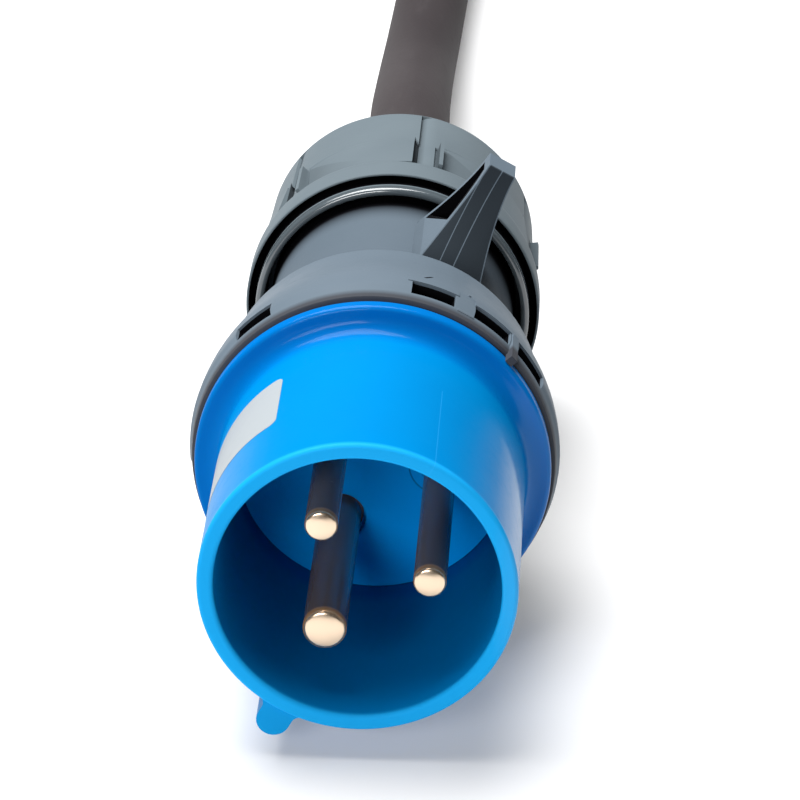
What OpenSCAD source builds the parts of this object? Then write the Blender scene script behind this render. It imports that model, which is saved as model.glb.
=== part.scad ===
// Industrial pin-and-collar plug on a short adapter lead, with a lidded coupler on the far end.
// The plug lies on its widest ring with its pins facing -Y; the lead runs back along +Y.

/* [Collar] */
// Outside diameter of the collar at the rim
rim_od = 57.5; // [54:0.5:62]
// Wall thickness of the collar
collar_wall = 3; // [2.4:0.1:3.6]
// Length of the collar from the rim to the front of its flange
collar_length = 48; // [44:0.5:52]
// Outside diameter of the blue flange
flange_od = 67; // [66:0.2:69]
// Thickness of the blue flange
flange_thickness = 3.2; // [2.6:0.1:5]
// Radius of the cove between collar and flange
cove_radius = 3; // [1:0.1:3.4]
// Width of the key rib under the collar
key_width = 6.2; // [4:0.2:8]
// Height of the key rib above the collar
key_height = 5.8; // [4.4:0.1:6.4]
// Length of the key rib
key_length = 25; // [12:1:40]
// Turn of the whole plug about its axis, clockwise seen from the pins
plug_roll = 29; // [0:1:40]

/* [Pins] */
// Diameter of the circle that the pins stand on
pin_circle = 25.6; // [24:0.2:28]
// Diameter of the line and neutral pins
line_pin_d = 6; // [5:0.1:6.4]
// Diameter of the earth pin
earth_pin_d = 8; // [7:0.1:8.4]
// Depth of the line pin tips behind the rim
line_recess = 2.5; // [1:0.1:8]
// Depth of the earth pin tip behind the rim
earth_recess = 4.9; // [1:0.1:8]
// Thickness of the carrier in front of its flange
carrier_step = 1.2; // [0.8:0.1:2]
// Thickness of the carrier behind its flange
carrier_body = 12; // [9:0.5:14]
// Length of the terminals behind the carrier
terminal_length = 18; // [16:0.5:22]

/* [Rear housing] */
// Outside diameter of the grey ring, the widest part of the plug
ring_od = 70; // [69:0.2:72]
// Length of the grey ring
ring_length = 30; // [27:0.5:33]
// Outside diameter of the ring at its rear edge
ring_rear_od = 61.2; // [60:0.2:64]
// Wall of the ring at its mouth
ring_wall = 2.2; // [1.8:0.1:2.6]
// Outside diameter of the neck
neck_od = 48.8; // [47.6:0.2:50]
// Length of the neck from the ring to the thread
neck_length = 45; // [43:0.5:50]
// Length of the thread inside the gland nut
thread_length = 12; // [9:0.5:14]
// Distance of the windows from the ring's front edge
window_inset = 2.7; // [2.2:0.1:3]
// Width of one window in the ring, along the rim
window_width = 8.6; // [5:0.2:10]
// Height of one window in the ring, along the axis
window_height = 4.6; // [2:0.1:5]

/* [Gland] */
// Outside diameter of the nut's skirt
nut_od = 59.2; // [58.8:0.2:60.6]
// Length of the nut
nut_length = 38.6; // [37:0.2:44]
// Diameter of the nut's grip behind its skirt, between the teeth
grip_od = 56.6; // [56:0.2:57.6]
// Diameter of the nut's grip at its rear edge
grip_rear_od = 54.6; // [53:0.2:55.6]
// Number of teeth round the nut
nut_teeth = 6; // [5:1:8]
// Axial length of the teeth
tooth_length = 15; // [8:0.5:20]
// Screw travel of the nut for one turn
thread_pitch = 3; // [2:0.5:4]
// Length of the rubber seal round the cable
seal_length = 11; // [8:0.5:13]

/* [Lid lug] */
// Distance of the lug's top from the plug's axis
lug_top = 46; // [43:0.2:48]
// Length of the lug's flat top, along the axis
lug_roof = 6.3; // [5:0.1:7]
// Width of the lug at its top
lug_top_w = 5.7; // [5:0.1:7]
// Width of the lug at its foot
lug_foot_w = 14.4; // [13:0.2:16]
// Distance of the lug's front edge behind the grey ring
lug_set_back = 16.2; // [14:0.2:18]
// Thickness of the lug's front plate
lug_plate = 2; // [1.6:0.1:2.4]

/* [Cable] */
// Outside diameter of the rubber cable
cable_d = 18; // [16:0.2:18.4]
// Outside diameter of one insulated core
core_d = 4.8; // [4:0.1:5.2]
// Distance from the gland nut to the coupler's strain relief
lead_reach = 380; // [340:5:460]

/* [Coupler] */
// Outside diameter of the coupler's front collar
coupler_od = 53; // [50:0.5:56]
// Outside diameter of the coupler's flange, on which it lies
coupler_flange_od = 58; // [57:0.5:62]
// Length of the blue front of the coupler
coupler_front = 42; // [38:0.5:48]
// Length of the grey handle of the coupler
handle_length = 52; // [46:1:60]
// Length of the tapered strain relief
boot_length = 40; // [30:1:50]
// Diameter of the circle that the coupler's contacts stand on
contact_circle = 21; // [20:0.2:22]
// Bore of the line and neutral contacts
line_bore_d = 5; // [4.6:0.1:5.4]
// Bore of the earth contact
earth_bore_d = 7; // [6.6:0.1:7.4]
// Thickness of the lid
lid_thickness = 7; // [6:0.2:9]
// Diameter of the lid's hinge pin
lid_pin_d = 3; // [2.4:0.1:3.6]

/* [Hidden] */
$fn = 96;
// Gap between pieces that move past each other
running_gap = 0.4;
// Gap between pieces that stay together
fit_gap = 0.1;
// Gap of a hinge in the piece that turns on its pin
shaft_gap = 0.08;
// Small overlap of cutting tools
cut = 0.5;

// Places along the plug's axis, counted from the rim towards the cable
rim_r = rim_od / 2;
bore_r = rim_r - collar_wall;
rim_round = collar_wall * 0.3;
flange_front = collar_length;
collar_back = flange_front + flange_thickness;
carrier_face = collar_back - carrier_step;
spigot_length = 1.9;
spigot_r = ring_od / 2 - ring_wall - fit_gap;
spigot_wall = 3.2;
seal_width = 4.5;
carrier_r = spigot_r - spigot_wall - seal_width - 2 * fit_gap;
carrier_flange = 2.8;
carrier_flange_back = collar_back + carrier_flange;
carrier_back = carrier_flange_back + carrier_body;
ring_front = collar_back + fit_gap;
ring_back = ring_front + ring_length;
web_front = carrier_flange_back + 5;
web_length = 2.6;
neck_r = neck_od / 2;
thread_front = ring_back + neck_length;
neck_back = thread_front + thread_length;
thread_r = neck_r + 1.3;
seal_front = neck_back - seal_length - 2;
seal_back = seal_front + seal_length;
cage_r = neck_r - 5;
skirt_front = thread_front - 5.6;
nut_back = skirt_front + nut_length;
skirt_r = nut_od / 2;
grip_r = grip_od / 2;
grip_rear_r = grip_rear_od / 2;
skirt_length = 7.2;
plug_length = nut_back;
axis_height = ring_od / 2;
cable_r = cable_d / 2;
stub_front = ring_back + neck_length * 0.724;

// Angles round the axis, clockwise from the top, seen from the pins
key_angle = plug_roll + 180;
earth_angle = plug_roll + 180;
line_angle = plug_roll - 60;
neutral_angle = plug_roll + 60;
window_angles = [-130, -70, -10.5, 10.5, 28.5, 130];
lug_angle = plug_roll;
tooth_pitch = 360 / nut_teeth;

// Coupler places along its own axis, counted from the strain relief towards the lid
handle_front = boot_length + handle_length;
coupler_face = handle_front + coupler_front;
coupler_flange = 5;
coupler_r = coupler_od / 2;
coupler_bore_r = coupler_r - 3;
coupler_height = coupler_flange_od / 2;
insert_r = coupler_bore_r - 3.4;
hinge_lift = coupler_r + 6;
hinge_place = coupler_face - 3;
lid_r = coupler_r + 1;
contact_r = contact_circle / 2;
contact_wall = 1.2;
contact_length = 34;

// The lead's route, chosen by hand: out of the nut, down to the floor and up into the coupler.
// Each point: sideways in cable radii, share of the reach, share of the height above the floor's run
route_shares = [
    [0, 0, 1], [0, 0.037, 1], [-0.044, 0.074, 0.992], [-0.111, 0.121, 0.946], [-0.2, 0.179, 0.823],
    [-0.289, 0.242, 0.631], [-0.356, 0.31, 0.4], [-0.4, 0.384, 0.177], [-0.378, 0.463, 0.038], [-0.311, 0.542, 0],
    [-0.222, 0.621, 0], [-0.133, 0.69, 0.1], [-0.067, 0.753, 0.35], [-0.022, 0.816, 0.65], [0, 0.874, 0.88],
    [0, 0.921, 0.98], [0, 0.963, 1], [0, 1, 1]
];
route_start = plug_length / 2;
route = [for (p = route_shares) let (end_height = p[1] < 0.58 ? axis_height : coupler_height)
    [p[0] * cable_r, p[1] * lead_reach, cable_r + p[2] * (end_height - cable_r)]];
route_sides = 12;
coupler_start = route_start + route[len(route) - 1][1];

// Puts a piece on the plug's axis: z runs from the rim towards the cable
module on_plug() {
    translate([0, -plug_length / 2, axis_height]) rotate([-90, 0, 0]) children();
}

// Puts a piece on the coupler's axis: z runs from the strain relief towards the lid
module on_coupler() {
    translate([0, coupler_start, coupler_height]) rotate([-90, 0, 0]) children();
}

// Turns +X outwards at an angle clockwise from the top
module at(angle) {
    rotate([0, 0, angle - 90]) children();
}

// A rectangle from one corner to the other with round corners
module soft_rect(low, high, round) {
    translate([low[0] + round, low[1]]) square([high[0] - low[0] - 2 * round, high[1] - low[1]]);
    translate([low[0], low[1] + round]) square([high[0] - low[0], high[1] - low[1] - 2 * round]);
    for (x = [low[0] + round, high[0] - round])
        for (y = [low[1] + round, high[1] - round])
            translate([x, y]) circle(r = round, $fn = 32);
}

// The corner that a cove fills between a wall at x and a face at y
module cove(x, y, radius) {
    difference() {
        translate([x - cut, y - radius]) square([radius + cut, radius + cut]);
        translate([x + radius, y - radius]) circle(r = radius, $fn = 48);
    }
}

// A straight tube from one place along the axis to another
module tube(outer, inner, from, to) {
    translate([0, 0, from]) difference() {
        cylinder(r = outer, h = to - from);
        translate([0, 0, -cut]) cylinder(r = inner, h = to - from + 2 * cut);
    }
}

// Blue collar: the cup that guards the pins, its key rib, its flange and the spigot behind it
module collar() color("dodgerblue") on_plug() {
    difference() {
        union() {
            rotate_extrude() collar_section();
            key_rib();
        }
        translate([0, 0, -cut]) cylinder(r = bore_r, h = collar_back + 2 * cut);
    }
}

module collar_section() {
    soft_rect([bore_r - cut, 0], [rim_r, flange_front + flange_thickness / 2], rim_round);
    soft_rect([bore_r - cut, flange_front], [flange_od / 2, collar_back], flange_thickness * 0.3);
    cove(rim_r, flange_front + cut / 2, cove_radius);
    translate([spigot_r - spigot_wall, collar_back - flange_thickness / 2])
        square([spigot_wall, flange_thickness / 2 + spigot_length]);
}

module key_rib() {
    key_end = rim_r + key_height - key_width / 2;
    root = key_width * 0.25;
    at(key_angle) translate([0, 0, rim_round]) linear_extrude(key_length) {
        translate([bore_r, -key_width / 2]) square([key_end - bore_r, key_width]);
        translate([key_end, 0]) circle(d = key_width, $fn = 48);
        for (side = [-1, 1])
            difference() {
                translate([rim_r - 1, side * (key_width / 2 + root / 2) - root / 2 - 0.1 * side])
                    square([root + 0.6, root + 0.1]);
                translate([rim_r + root - 0.4, side * (key_width / 2 + root)]) circle(r = root, $fn = 32);
            }
    }
}

// Blue insulating carrier that closes the cup and holds the pins
module contact_carrier() color("royalblue") on_plug() {
    difference() {
        union() {
            translate([0, 0, carrier_face])
                cylinder(r = bore_r - fit_gap, h = carrier_back - carrier_face - carrier_body);
            translate([0, 0, collar_back])
                cylinder(r = spigot_r - spigot_wall - fit_gap, h = carrier_flange);
            translate([0, 0, carrier_flange_back]) cylinder(r = carrier_r, h = carrier_body);
        }
        pin_hole(earth_angle, earth_pin_d);
        pin_hole(line_angle, line_pin_d);
        pin_hole(neutral_angle, line_pin_d);
        line_ring_groove(line_angle);
        line_ring_groove(neutral_angle);
    }
}

// Shoulder of a pin inside the carrier, a little wider than the part that is plugged in
function shoulder_r(d) = d / 2 + 0.8;

module pin_hole(angle, d) {
    at(angle) translate([pin_circle / 2, 0, carrier_face - cut])
        cylinder(r = shoulder_r(d) + fit_gap, h = carrier_back - carrier_face + 2 * cut);
}

module line_ring_groove(angle) {
    groove_r = line_pin_d / 2 + 2.9;
    at(angle) translate([pin_circle / 2, 0, 0])
        tube(groove_r, groove_r - 0.5, carrier_face - cut, carrier_face + 0.6);
}

// Turned brass pin: rounded tip, shaft, shoulder in the carrier, stop collar and drilled terminal
module contact_pin(angle, d, recess) {
    r = d / 2;
    tip = r * tip_share;
    stop_back = carrier_back + 2;
    at(angle) translate([pin_circle / 2, 0, 0]) difference() {
        rotate_extrude() {
            translate([0, recess]) square([r - tip, tip + cut]);
            intersection() {
                translate([r - tip, recess + tip]) circle(r = tip, $fn = 48);
                translate([0, recess]) square([r, tip + cut]);
            }
            translate([0, recess + tip]) square([r, carrier_face - recess - tip]);
            translate([0, carrier_face]) square([shoulder_r(d), carrier_back - carrier_face]);
            translate([0, carrier_back]) square([shoulder_r(d) + 1.2, stop_back - carrier_back]);
            translate([0, stop_back - cut]) square([terminal_r, terminal_length - 2 + cut]);
        }
        translate([0, 0, terminal_back - core_hole]) cylinder(d = core_d + 2 * fit_gap, h = core_hole + cut);
        translate([0, 0, screw_place]) rotate([0, 90, 0]) cylinder(d = screw_d + 2 * fit_gap, h = terminal_r + cut);
    }
}

tip_share = 0.4;
terminal_r = core_d / 2 + 2.6;
terminal_back = carrier_back + terminal_length;
core_hole = terminal_length * 0.6;
screw_d = 3.6;
screw_place = terminal_back - core_hole * 0.75;

module earth_pin() color("gold") on_plug() contact_pin(earth_angle, earth_pin_d, earth_recess);
module line_pin() color("gold") on_plug() contact_pin(line_angle, line_pin_d, line_recess);
module neutral_pin() color("gold") on_plug() contact_pin(neutral_angle, line_pin_d, line_recess);

// Slotted screws that clamp the cores in the terminals
module terminal_screws() color("silver") on_plug() {
    head_r = screw_d * 0.8;
    head = 2;
    for (angle = [earth_angle, line_angle, neutral_angle])
        at(angle) translate([pin_circle / 2, 0, screw_place]) rotate([0, 90, 0]) difference() {
            union() {
                translate([0, 0, core_d / 2 + 0.2]) cylinder(d = screw_d, h = terminal_r - core_d / 2 + cut);
                translate([0, 0, terminal_r + 0.2]) cylinder(r = head_r, h = head);
            }
            translate([-0.4, -head_r - cut, terminal_r + head - 0.6]) cube([0.8, 2 * head_r + 2 * cut, 2]);
        }
}

// Black rubber ring between the carrier and the housing's inner web
module housing_seal() color("dimgray") on_plug()
    tube(spigot_r - spigot_wall - fit_gap, carrier_r + fit_gap, carrier_flange_back, web_front);

// Grey rear housing: slotted ring, neck, thread for the nut, and the lug that a socket's sprung lid grips
module rear_housing() color("slategray") on_plug() difference() {
    union() {
        rotate_extrude() housing_section();
        at(lug_angle) lid_lug();
        at(plug_roll + tab_angle) ring_tab();
    }
    for (angle = window_angles)
        at(plug_roll + angle) translate([spigot_r - 1, -window_width / 2, ring_front + window_inset])
            cube([ring_wall + 4, window_width, window_height]);
    at(lug_angle) lug_hollow();
}

ring_r = ring_od / 2;
ring_rear_r = ring_rear_od / 2;
ring_bevel = 1.3;
ring_straight = 12.7;
ring_room_r = ring_rear_r - 3.4;
terminal_room_r = pin_circle / 2 + terminal_r + 5;
neck_bore_r = neck_r - 3.4;

module housing_section() {
    room_end = max(screw_place + 4, ring_back - 2.4);
    shelf_r = carrier_r + 1.4;
    difference() {
        polygon([
            [neck_r - 8, ring_front], [ring_r - ring_bevel, ring_front], [ring_r - ring_bevel * 0.3, ring_front + 2.8],
            [ring_r, ring_front + 4.4], [ring_r - 0.2, ring_front + 6.6],
            [ring_r - ring_bevel * 0.7, ring_front + ring_straight], [ring_rear_r + 0.7, ring_back - 5.3],
            [ring_rear_r + 0.1, ring_back - 0.6], [ring_rear_r - 0.5, ring_back],
            [neck_r + 1.2, ring_back], [neck_r, ring_back + 1.2],
            [neck_r, thread_front], [thread_r, thread_front + 1], [thread_r, neck_back - 1],
            [thread_r - 1, neck_back], [neck_r - 8, neck_back]
        ]);
        polygon([
            [0, ring_front - cut], [ring_r - ring_wall, ring_front - cut], [ring_r - ring_wall, web_front],
            [shelf_r, web_front], [shelf_r, web_front + web_length],
            [ring_room_r, web_front + web_length], [ring_room_r, ring_back - 6],
            [terminal_room_r, ring_back - 2.6], [terminal_room_r, room_end],
            [neck_bore_r, room_end + 5], [neck_bore_r, seal_front - 3], [cable_r + 2, seal_front - 3],
            [cable_r + 2, seal_front],
            [cage_r, seal_front], [cage_r, neck_back + cut], [0, neck_back + cut]
        ]);
    }
}

// Lid lug: shares of its height from the neck up, and the curves that its front and its sides follow
lug_shares = [0:0.1:1];
lug_front = ring_back + lug_set_back;
lug_foot = ring_back + 4;
lug_back = lug_front + lug_roof;
lug_lean = 4.2;
lug_skin = 1.4;
function lug_height(share) = neck_r + share * (lug_top - neck_r);
function lug_face(share) = lug_foot + (lug_front - lug_foot) * (1 - pow(1 - share, 1.9));
function lug_rear(share) = lug_back + lug_lean * (1 - share);
function lug_half(share) = lug_top_w / 2 + (lug_foot_w - lug_top_w) / 2 * pow(1 - share, 1.6);

// The lug is drawn from the side and from the pins; its solid is what both outlines share
module lid_lug() intersection() {
    rotate([90, 0, 0]) translate([0, 0, -lug_foot_w]) linear_extrude(2 * lug_foot_w) lug_side();
    translate([0, 0, ring_back]) linear_extrude(lug_back + lug_lean + cut - ring_back) lug_outline();
}

module lug_side() polygon(concat(
    [[neck_r - 1.2, lug_foot]],
    [for (h = lug_shares) [lug_height(h), lug_face(h)]],
    [[lug_top, lug_back], [neck_r, lug_rear(0)], [neck_r - 1.2, lug_rear(0)]]
));

module lug_outline() polygon(concat(
    [[neck_r - 1.2, -lug_foot_w / 2]],
    [for (h = lug_shares) [lug_height(h), -lug_half(h)]],
    [for (h = [1:-0.1:0]) [lug_height(h), lug_half(h)]],
    [[neck_r - 1.2, lug_foot_w / 2]]
));

// The hollow between the lug's front plate, its top and its thin rear plate
module lug_hollow() rotate([90, 0, 0]) translate([0, 0, -lug_foot_w]) linear_extrude(2 * lug_foot_w) polygon(concat(
    [for (h = [0.4:0.1:0.9]) [lug_height(h), lug_face(h) + lug_plate * 1.15]],
    [[lug_height(0.9), lug_rear(0.9) - lug_skin], [lug_height(0.12), lug_rear(0.12) - lug_skin]]
));

// Small tab of the ring that reaches over the blue flange
tab_angle = 19.4;
tab_w = 1.6;

module ring_tab() translate([flange_od / 2 + fit_gap, -tab_w / 2, flange_front + 0.6])
    cube([ring_r + 0.2 - flange_od / 2 - fit_gap, tab_w, ring_front + window_inset + window_height - flange_front - 0.6]);

// Grey gland nut: bell skirt, inner threaded sleeve, saw-tooth grips and a round mouth for the cable
module gland_nut() color("slategray") on_plug() difference() {
    union() {
        rotate_extrude() nut_section();
        for (tooth = [0:nut_teeth - 1])
            at(plug_roll + tooth * tooth_pitch) {
                nut_tooth();
                nut_band();
                nut_ridge();
            }
    }
    for (tooth = [0:nut_teeth - 1])
        at(plug_roll + tooth * tooth_pitch) nut_notch();
}

mouth_r = cable_r + running_gap * 2;
cone_front = neck_back + running_gap;
cone_back = nut_back - nut_length * 0.175;
cone_front_r = cage_r + 0.6;
cone_back_r = cable_r * 1.44;
sleeve_r = thread_r + running_gap / 2;
sleeve_wall = 1.7;
sleeve_front = skirt_front - 2.2;
grip_front = skirt_front + skirt_length;
// Radius inside the nut's wall from which teeth and ribs rise
grip_root = max(grip_r - 2, sleeve_r + 0.2);

// Radius of the tapered grip at a place along the axis
function grip_at(place) = grip_r + (grip_rear_r - grip_r) * (place - grip_front) / (nut_back - grip_front);

module nut_section() {
    lip = 0.6;
    difference() {
        union() {
            soft_rect([skirt_r - 4, skirt_front], [skirt_r, grip_front], 0.4);
            polygon([
                [mouth_r, grip_front - 1], [grip_r + 0.8, grip_front - 1], [grip_r, grip_front + 1],
                [grip_rear_r, nut_back - 1.6], [grip_rear_r - 0.5, nut_back - 0.5], [grip_rear_r - 1.6, nut_back],
                [mouth_r + 2, nut_back], [mouth_r, nut_back - 2]
            ]);
        }
        // Bell between the skirt and the sleeve
        polygon([
            [sleeve_r + sleeve_wall, skirt_front - cut], [skirt_r - lip, skirt_front - cut],
            [skirt_r - lip - 0.3, grip_front - 1], [sleeve_r + sleeve_wall, grip_front]
        ]);
        // Thread room and the cone that closes the cage
        polygon([
            [0, skirt_front - cut], [sleeve_r, skirt_front - cut], [sleeve_r, cone_front],
            [cone_front_r, cone_front], [cone_back_r, cone_back], [0, cone_back]
        ]);
    }
    // The threaded sleeve stands out of the bell with a round edge
    translate([sleeve_r + sleeve_wall / 2, sleeve_front]) circle(d = sleeve_wall, $fn = 32);
    translate([sleeve_r, sleeve_front]) square([sleeve_wall, grip_front - sleeve_front]);
}

// A ramp that rises along the rim and ends in a step
module nut_tooth() {
    span = tooth_pitch * 0.74;
    end = -22.3;
    low = grip_r - 0.3;
    rise = skirt_r - low - 0.55;
    steps = 6;
    translate([0, 0, grip_front - 0.4]) linear_extrude(tooth_length) polygon(concat(
        [for (i = [0:steps]) let (a = end - span + span * i / steps, r = low + rise * i / steps)
            [r * cos(a), r * sin(a)]],
        [for (i = [steps:-1:0]) let (a = end - span + span * i / steps) [grip_root * cos(a), grip_root * sin(a)]]
    ));
}

// A flat rib beside each tooth that follows the grip to the rear edge
module nut_band() {
    rib_w = 3.4;
    rib_angle = -16.8;
    rib_height = 0.45;
    front = grip_front - 0.4;
    back = nut_back - 3;
    rotate([0, 0, rib_angle]) rotate([90, 0, 0]) translate([0, 0, -rib_w / 2]) linear_extrude(rib_w) polygon([
        [grip_root, front], [grip_at(front) + rib_height, front], [grip_at(back) + rib_height, back], [grip_root, back]
    ]);
}

// A thin upright ridge between the rib and the next ramp
module nut_ridge() {
    ridge_w = 1.2;
    ridge_angle = -10.7;
    rotate([0, 0, ridge_angle]) translate([grip_root, -ridge_w / 2, grip_front + 1.1])
        cube([skirt_r + 0.2 - grip_root, ridge_w, tooth_length - 3]);
}

// The deep slot between a tooth's step and its rib
module nut_notch() {
    slot_w = 1.1;
    slot_angle = -21.2;
    floor_r = max(grip_r - 1.6, sleeve_r + 0.6);
    rotate([0, 0, slot_angle]) translate([floor_r, -slot_w / 2, grip_front + 0.4])
        cube([6, slot_w, tooth_length - 1.6]);
}

// Split cage that the nut's cone closes on the cable
module clamp_cage() color("gray") on_plug() {
    fingers = 8;
    slot = cable_r * 0.22;
    cage_front = seal_back + fit_gap * 2;
    base_back = seal_back + seal_length * 0.27;
    finger_back = cone_back - nut_length * 0.035;
    tilt_r = (cone_front_r - cone_back_r) / (cone_back - cone_front);
    difference() {
        rotate_extrude() polygon([
            [cable_r + running_gap, cage_front], [cage_r - fit_gap * 2, cage_front], [cage_r - fit_gap * 2, cone_front],
            [cage_r - 0.2 - tilt_r * (finger_back - cone_front), finger_back], [cable_r + running_gap, finger_back]
        ]);
        for (i = [0:fingers / 2 - 1])
            rotate([0, 0, 180 / fingers * 2 * i]) translate([-cage_r - 1, -slot / 2, base_back])
                cube([2 * cage_r + 2, slot, finger_back - base_back + cut]);
    }
}

// Rubber seal that the cage presses against the cable
module cable_seal() color("black") on_plug() tube(cage_r - fit_gap, cable_r + fit_gap / 2, seal_front, seal_back);

// End of the cable's sheath inside the gland
module sheath_end() color("black") on_plug()
    translate([0, 0, stub_front]) cylinder(r = cable_r, h = nut_back - stub_front);

// Insulated core from the sheath to its terminal
module core(angle) {
    inner = 3.1;
    outer = pin_circle / 2;
    tip = terminal_back - core_hole + 1;
    bend = (stub_front - terminal_back) / 4;
    at(angle) swept_tube([
        [outer, 0, tip], [outer, 0, terminal_back + 1], [outer - 0.6, 0, terminal_back + bend],
        [(outer + inner) / 2 + 2, 0, terminal_back + 1.6 * bend], [(outer + inner) / 2 - 2, 0, terminal_back + 2.4 * bend],
        [inner + 0.6, 0, stub_front - bend], [inner, 0, stub_front - 1], [inner, 0, stub_front]
    ], core_d / 2, core_sides, [0, 1, 0]);
}

core_sides = 16;

module earth_core() color("yellowgreen") on_plug() core(earth_angle);
module line_core() color("saddlebrown") on_plug() core(line_angle);
module neutral_core() color("steelblue") on_plug() core(neutral_angle);

// Free stretch of the lead between the gland nut and the coupler's strain relief
module cable() color("black") translate([0, route_start, 0]) swept_tube(route, cable_r, route_sides, [1, 0, 0]);

// Direction of a route at one of its points
function along(points, i) = let (last = len(points) - 1, d = points[min(i + 1, last)] - points[max(i - 1, 0)],
    e = i == 0 ? points[1] - points[0] : i == last ? points[last] - points[last - 1] : d) e / norm(e);

// A round rope along points that lie in one plane, whose normal is side
module swept_tube(points, r, sides, side) {
    last = len(points) - 1;
    rings = [for (i = [0:last]) for (k = [0:sides - 1])
        let (rise = cross(side, along(points, i)), up = rise / norm(rise), a = 360 / sides * (k + 0.5))
        points[i] + r * cos(a) * side + r * sin(a) * up];
    faces = concat(
        [[for (k = [0:sides - 1]) k]],
        [for (i = [0:last - 1]) for (k = [0:sides - 1])
            [i * sides + k, (i + 1) * sides + k, (i + 1) * sides + (k + 1) % sides, i * sides + (k + 1) % sides]],
        [[for (k = [sides - 1:-1:0]) last * sides + k]]
    );
    polyhedron(rings, faces);
}

// Tapered rubber strain relief on the coupler, with its rings
module strain_relief() color("black") on_coupler() {
    boot_r = cable_r + 8;
    rings = 5;
    ring_pitch = (boot_length - 12) / rings;
    difference() {
        rotate_extrude() {
            polygon([
                [0, 0], [cable_r + 1.6, 0], [boot_r - 3, boot_length - 8], [boot_r, boot_length - 6],
                [boot_r, boot_length], [boot_r - 4, boot_length], [boot_r - 4, boot_length + 10], [0, boot_length + 10]
            ]);
            for (i = [0:rings - 1])
                translate([cable_r, 3 + i * ring_pitch])
                    square([2.8 + 5 * i * ring_pitch / boot_length, ring_pitch * 0.5]);
        }
    }
}

// Grey handle of the coupler: a waisted grip with ribs, closed round the contacts
module coupler_handle() color("slategray") on_coupler() {
    boot_r = cable_r + 8;
    grip_ribs = 10;
    difference() {
        union() {
            rotate_extrude() polygon([
                [0, boot_length], [boot_r + 1, boot_length], [boot_r + 2, boot_length + 2], [boot_r + 2, boot_length + 26],
                [coupler_r - 2, handle_front - 10], [coupler_r - 1, handle_front - 8], [coupler_r - 1, handle_front],
                [0, handle_front]
            ]);
            for (i = [0:grip_ribs - 1])
                rotate([0, 0, 360 / grip_ribs * i]) translate([boot_r, -1.5, boot_length + 5]) cube([3, 3, 20]);
        }
        translate([0, 0, boot_length - cut]) cylinder(r = boot_r - 4 + fit_gap, h = 10 + cut + fit_gap);
    }
}

// Blue front of the coupler: flange, collar, keyway, contact insert and hinge ears of the lid
module coupler_front() color("dodgerblue") on_coupler() difference() {
    union() {
        rotate_extrude() {
            translate([0, handle_front]) square([coupler_r, coupler_front]);
            soft_rect([coupler_r - 4, handle_front], [coupler_flange_od / 2, handle_front + coupler_flange], 1);
        }
        at(0) for (y = [-lid_ear_out, lid_ear_out - lid_ear])
            translate([coupler_r - 2, y, hinge_place - 6]) cube([hinge_lift + 3 - coupler_r + 2, lid_ear, 9]);
    }
    // Room for the mating collar, with its keyway at the foot
    tube(coupler_bore_r, insert_r, handle_front + coupler_flange + 3, coupler_face + cut);
    at(180) translate([coupler_bore_r - cut, -3.4, coupler_face - 30]) cube([2, 6.8, 30 + cut]);
    contact_hole(180, earth_bore_d);
    contact_hole(-60, line_bore_d);
    contact_hole(60, line_bore_d);
    at(0) translate([hinge_lift, -2 * lid_ear_out, hinge_place]) rotate([-90, 0, 0])
        cylinder(d = lid_pin_d, h = 4 * lid_ear_out);
}

lid_ear = 3;
lid_ear_out = 10;

module contact_hole(angle, bore)
    at(angle) translate([contact_r, 0, coupler_face - contact_length - 2])
        cylinder(r = bore / 2 + contact_wall + fit_gap, h = contact_length + 2 + cut);

// Brass contact tube of the coupler, set back a little from its face
module contact_tube(angle, bore) color("gold") on_coupler() at(angle) translate([contact_r, 0, 0]) difference() {
    translate([0, 0, coupler_face - contact_length - 2]) cylinder(r = bore / 2 + contact_wall, h = contact_length);
    translate([0, 0, coupler_face - contact_length + 2]) cylinder(d = bore, h = contact_length);
}

module earth_contact() contact_tube(180, earth_bore_d);
module line_contact() contact_tube(-60, line_bore_d);
module neutral_contact() contact_tube(60, line_bore_d);

// Sprung lid of the coupler: dished disc with a finger lip and a knuckle on the hinge pin
lid_front = coupler_face + running_gap;
knuckle_r = lid_pin_d / 2 + 2;
knuckle_half = 4;

module coupler_lid() color("dodgerblue") on_coupler() difference() {
    union() {
        rotate_extrude() soft_section_of_lid();
        at(0) translate([hinge_lift, -knuckle_half, hinge_place]) rotate([-90, 0, 0])
            cylinder(r = knuckle_r, h = 2 * knuckle_half);
        at(0) translate([lid_r - 6, -knuckle_half, lid_front]) cube([hinge_lift - lid_r + 6, 2 * knuckle_half, 4]);
        at(0) translate([hinge_lift - 2, -knuckle_half, hinge_place]) cube([4, 2 * knuckle_half, lid_front + 4 - hinge_place]);
        at(180) translate([lid_r - 4, -8, lid_front + lid_thickness - 3]) cube([5, 16, 3]);
    }
    at(0) translate([hinge_lift, -2 * lid_ear_out, hinge_place]) rotate([-90, 0, 0])
        cylinder(d = lid_pin_d + 2 * shaft_gap, h = 4 * lid_ear_out);
    tube(coupler_r - 0.4, insert_r + 0.4, lid_front - cut, lid_front + 2);
}

module soft_section_of_lid() {
    polygon([
        [0, lid_front], [lid_r, lid_front], [lid_r, lid_front + lid_thickness - 3],
        [lid_r - 3, lid_front + lid_thickness], [0, lid_front + lid_thickness]
    ]);
}

// Rubber ring in the lid that closes on the coupler's rim
module lid_seal() color("black") on_coupler() tube(coupler_r - 0.5, insert_r + 0.5, lid_front + 0.2, lid_front + 2);

// Steel hinge pin of the lid
module lid_pin() color("silver") on_coupler() at(0)
    translate([hinge_lift, -lid_ear_out, hinge_place]) rotate([-90, 0, 0]) cylinder(d = lid_pin_d, h = 2 * lid_ear_out);

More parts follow.
